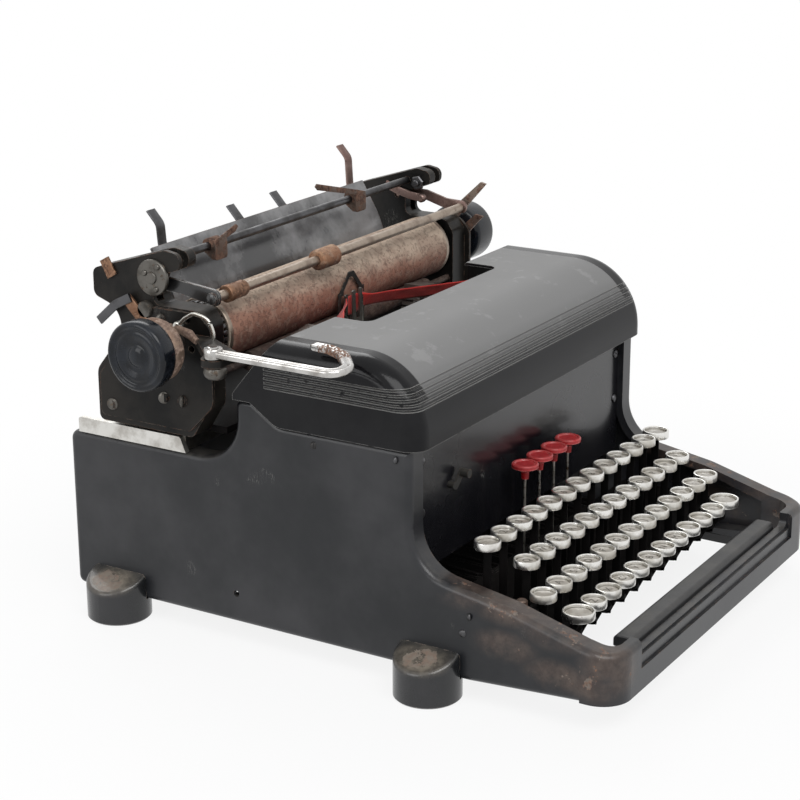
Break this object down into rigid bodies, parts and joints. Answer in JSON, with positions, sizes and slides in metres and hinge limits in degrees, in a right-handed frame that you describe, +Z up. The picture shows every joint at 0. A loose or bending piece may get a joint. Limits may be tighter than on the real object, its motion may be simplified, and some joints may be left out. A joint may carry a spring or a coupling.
{
  "type": "desk typewriter",
  "caption": "Full-size front-strike desk typewriter with a sliding platen carriage, sprung round keys, shifting type basket and return lever.",
  "frame": {"origin": "on the table, under the middle of the machine", "axes": "+X to the typist's right, +Y to the rear, +Z up"},
  "size_m": [0.384, 0.375, 0.256],
  "materials": {
    "enamel": "worn glossy enamel",
    "black_steel": "satin black paint",
    "nickel": "dull nickel",
    "steel": "aged",
    "key_top": "ringed key top with inset disc",
    "red": "red enamel",
    "platen_rubber": "aged rubber",
    "knob": "moulded black",
    "ribbon_cloth": "inked ribbon",
    "brass": "dull",
    "foot": "glossy black"
  },
  "bodies": {
    "frame": {"side_frame_left": "enamel", "side_frame_right": "enamel", "front_rail": "enamel", "front_panel": "enamel", "rear_panel": "enamel", "base_frame": "black_steel", "top_cover": "enamel", "feet": "foot", "trim_strips": "nickel", "carriage_rails": "steel", "frame_screws": "steel", "key_comb": "black_steel", "key_fulcrum_rod": "steel", "spool_brackets": "black_steel", "card_holder": "black_steel", "ribbon": "ribbon_cloth", "bell": "brass"},
    "carriage": {"carriage_bed": "black_steel", "carriage_end_left": "black_steel", "carriage_end_right": "black_steel", "paper_table": "black_steel", "paper_fingers": "nickel", "margin_rod": "steel", "escapement_rack": "steel"},
    "platen_roll": {"platen": "platen_rubber", "platen_core": "steel", "platen_knobs": "knob"},
    "feed": {"feed_roller": "platen_rubber"},
    "return_arm": {"return_lever": "nickel"},
    "bail": {"paper_bail": "steel"},
    "bail_wheel": {"bail_roller": "platen_rubber"},
    "left_margin": {"margin_stop_left": "black_steel"},
    "right_margin": {"margin_stop_right": "black_steel"},
    "paper_release": {"paper_release_lever": "nickel"},
    "carriage_release": {"carriage_release_lever": "steel"},
    "escapement": {"escapement_wheel": "steel"},
    "mainspring": {"mainspring_drum": "steel"},
    "basket": {"type_segment": "steel", "typebars": "steel", "type_rest": "black_steel", "type_guide": "steel"},
    "typebar": {"strike_typebar": "steel"},
    "letter_key": {"strike_key": "key_top"},
    "number_keys": {"number_row_keys": "key_top"},
    "upper_keys": {"upper_row_keys": "key_top"},
    "home_keys": {"home_row_keys": "key_top"},
    "lower_keys": {"lower_row_keys": "key_top"},
    "shift": {"shift_keys": "key_top"},
    "shift_lock": {"shift_lock_key": "key_top"},
    "backspace": {"backspace_key": "key_top"},
    "margin_release": {"margin_release_key": "key_top"},
    "space": {"space_bar": "black_steel"},
    "vibrator": {"ribbon_vibrator": "steel"},
    "left_spool": {"ribbon_spool_left": "steel"},
    "right_spool": {"ribbon_spool_right": "steel"},
    "selector": {"ribbon_selector": "black_steel"},
    "column_1": {"tab_key_1": "red"},
    "column_2": {"tab_key_2": "red"},
    "column_3": {"tab_key_3": "red"},
    "column_4": {"tab_key_4": "red"}
  },
  "joints": [
    {"name": "carriage_travel", "type": "slide", "parent": "frame", "child": "carriage", "axis": [1, 0, 0], "range_m": [-0.105, 0.105]},
    {"name": "platen_turn", "type": "hinge", "parent": "carriage", "child": "platen_roll", "pos_m": [0, 0.0952, 0.1865], "axis": [1, 0, 0], "continuous": true},
    {"name": "feed_turn", "type": "hinge", "parent": "carriage", "child": "feed", "pos_m": [0, 0.07983, 0.16455], "axis": [1, 0, 0], "continuous": true},
    {"name": "return_lever_swing", "type": "hinge", "parent": "carriage", "child": "return_arm", "pos_m": [-0.1865, 0.044, 0.1955], "axis": [0, 0, 1], "range_deg": [0, 30], "stiffness_Nm_per_rad": 0.15, "springref_deg": -17.19},
    {"name": "bail_lift", "type": "hinge", "parent": "carriage", "child": "bail", "pos_m": [0, 0.12, 0.219], "axis": [1, 0, 0], "range_deg": [-25, 0]},
    {"name": "bail_roller_turn", "type": "hinge", "parent": "bail", "child": "bail_wheel", "pos_m": [-0.027, 0.0745, 0.213], "axis": [1, 0, 0], "continuous": true},
    {"name": "left_margin_slide", "type": "slide", "parent": "carriage", "child": "left_margin", "axis": [1, 0, 0], "range_m": [-0.03, 0.045]},
    {"name": "right_margin_slide", "type": "slide", "parent": "carriage", "child": "right_margin", "axis": [1, 0, 0], "range_m": [-0.045, 0.055]},
    {"name": "paper_release_swing", "type": "hinge", "parent": "carriage", "child": "paper_release", "pos_m": [0.152, 0.088, 0.2], "axis": [1, 0, 0], "range_deg": [0, 18]},
    {"name": "carriage_release_swing", "type": "hinge", "parent": "carriage", "child": "carriage_release", "pos_m": [0.152, 0.0855, 0.183], "axis": [1, 0, 0], "range_deg": [0, 14]},
    {"name": "escapement_turn", "type": "hinge", "parent": "frame", "child": "escapement", "pos_m": [0, 0.161, 0.11625], "axis": [0, 1, 0], "continuous": true},
    {"name": "mainspring_turn", "type": "hinge", "parent": "frame", "child": "mainspring", "pos_m": [-0.088, 0.158, 0.078], "axis": [0, 1, 0], "continuous": true},
    {"name": "basket_shift", "type": "slide", "parent": "frame", "child": "basket", "axis": [0, 0, -1], "range_m": [0, 0.0065], "stiffness_N_per_m": 500, "springref_m": -0.024},
    {"name": "typebar_swing", "type": "hinge", "parent": "basket", "child": "typebar", "pos_m": [0.00211, 0.063, 0.12053], "axis": [-0.9995, 0, -0.0319], "range_deg": [0, 90.5]},
    {"name": "letter_key_press", "type": "hinge", "parent": "frame", "child": "letter_key", "pos_m": [0, 0.15, 0.03], "axis": [1, 0, 0], "range_deg": [0, 2.1], "stiffness_Nm_per_rad": 1.5, "springref_deg": -5.73},
    {"name": "number_keys_press", "type": "hinge", "parent": "frame", "child": "number_keys", "pos_m": [0, 0.15, 0.03], "axis": [1, 0, 0], "range_deg": [0, 2.1], "stiffness_Nm_per_rad": 16.5, "springref_deg": -5.73},
    {"name": "upper_keys_press", "type": "hinge", "parent": "frame", "child": "upper_keys", "pos_m": [0, 0.15, 0.03], "axis": [1, 0, 0], "range_deg": [0, 2.1], "stiffness_Nm_per_rad": 16.5, "springref_deg": -5.73},
    {"name": "home_keys_press", "type": "hinge", "parent": "frame", "child": "home_keys", "pos_m": [0, 0.15, 0.03], "axis": [1, 0, 0], "range_deg": [0, 2.1], "stiffness_Nm_per_rad": 18, "springref_deg": -5.73},
    {"name": "lower_keys_press", "type": "hinge", "parent": "frame", "child": "lower_keys", "pos_m": [0, 0.15, 0.03], "axis": [1, 0, 0], "range_deg": [0, 2.1], "stiffness_Nm_per_rad": 15, "springref_deg": -5.73},
    {"name": "shift_press", "type": "hinge", "parent": "frame", "child": "shift", "pos_m": [0, 0.15, 0.03], "axis": [1, 0, 0], "range_deg": [0, 2.15]},
    {"name": "shift_lock_press", "type": "hinge", "parent": "frame", "child": "shift_lock", "pos_m": [0, 0.15, 0.03], "axis": [1, 0, 0], "range_deg": [0, 2.1], "stiffness_Nm_per_rad": 1.5, "springref_deg": -5.73},
    {"name": "backspace_press", "type": "hinge", "parent": "frame", "child": "backspace", "pos_m": [0, 0.15, 0.03], "axis": [1, 0, 0], "range_deg": [0, 2.1], "stiffness_Nm_per_rad": 1.5, "springref_deg": -5.73},
    {"name": "margin_release_press", "type": "hinge", "parent": "frame", "child": "margin_release", "pos_m": [0, 0.15, 0.03], "axis": [1, 0, 0], "range_deg": [0, 2.1], "stiffness_Nm_per_rad": 1.5, "springref_deg": -5.73},
    {"name": "space_bar_press", "type": "hinge", "parent": "frame", "child": "space", "pos_m": [0, 0.15, 0.03], "axis": [1, 0, 0], "range_deg": [0, 1.6], "stiffness_Nm_per_rad": 6, "springref_deg": -8.59},
    {"name": "column_key_press_1", "type": "slide", "parent": "frame", "child": "column_1", "axis": [0, 0, -1], "range_m": [0, 0.006], "stiffness_N_per_m": 60, "springref_m": -0.01},
    {"name": "column_key_press_2", "type": "slide", "parent": "frame", "child": "column_2", "axis": [0, 0, -1], "range_m": [0, 0.006], "stiffness_N_per_m": 60, "springref_m": -0.01},
    {"name": "column_key_press_3", "type": "slide", "parent": "frame", "child": "column_3", "axis": [0, 0, -1], "range_m": [0, 0.006], "stiffness_N_per_m": 60, "springref_m": -0.01},
    {"name": "column_key_press_4", "type": "slide", "parent": "frame", "child": "column_4", "axis": [0, 0, -1], "range_m": [0, 0.006], "stiffness_N_per_m": 60, "springref_m": -0.01},
    {"name": "vibrator_lift", "type": "slide", "parent": "frame", "child": "vibrator", "axis": [0, 0, 1], "range_m": [0, 0.008], "deforming": ["ribbon"]},
    {"name": "left_spool_turn", "type": "hinge", "parent": "frame", "child": "left_spool", "pos_m": [-0.112, 0.003, 0.17], "axis": [0, 0, 1], "continuous": true},
    {"name": "right_spool_turn", "type": "hinge", "parent": "frame", "child": "right_spool", "pos_m": [0.112, 0.003, 0.17], "axis": [0, 0, 1], "continuous": true},
    {"name": "ribbon_selector_swing", "type": "hinge", "parent": "frame", "child": "selector", "pos_m": [-0.095, -0.054, 0.108], "axis": [0, 1, 0], "range_deg": [-12, 12]}
  ],
  "couplings": [
    {"joint": "feed_turn", "follows": "platen_turn", "ratio": -3.4167},
    {"joint": "escapement_turn", "follows": "carriage_travel", "rad_per_m": 100},
    {"joint": "mainspring_turn", "follows": "carriage_travel", "rad_per_m": 41.667},
    {"joint": "typebar_swing", "follows": "letter_key_press", "ratio": 42.857},
    {"joint": "shift_press", "follows": "basket_shift", "rad_per_m": 5.6388}
  ]
}
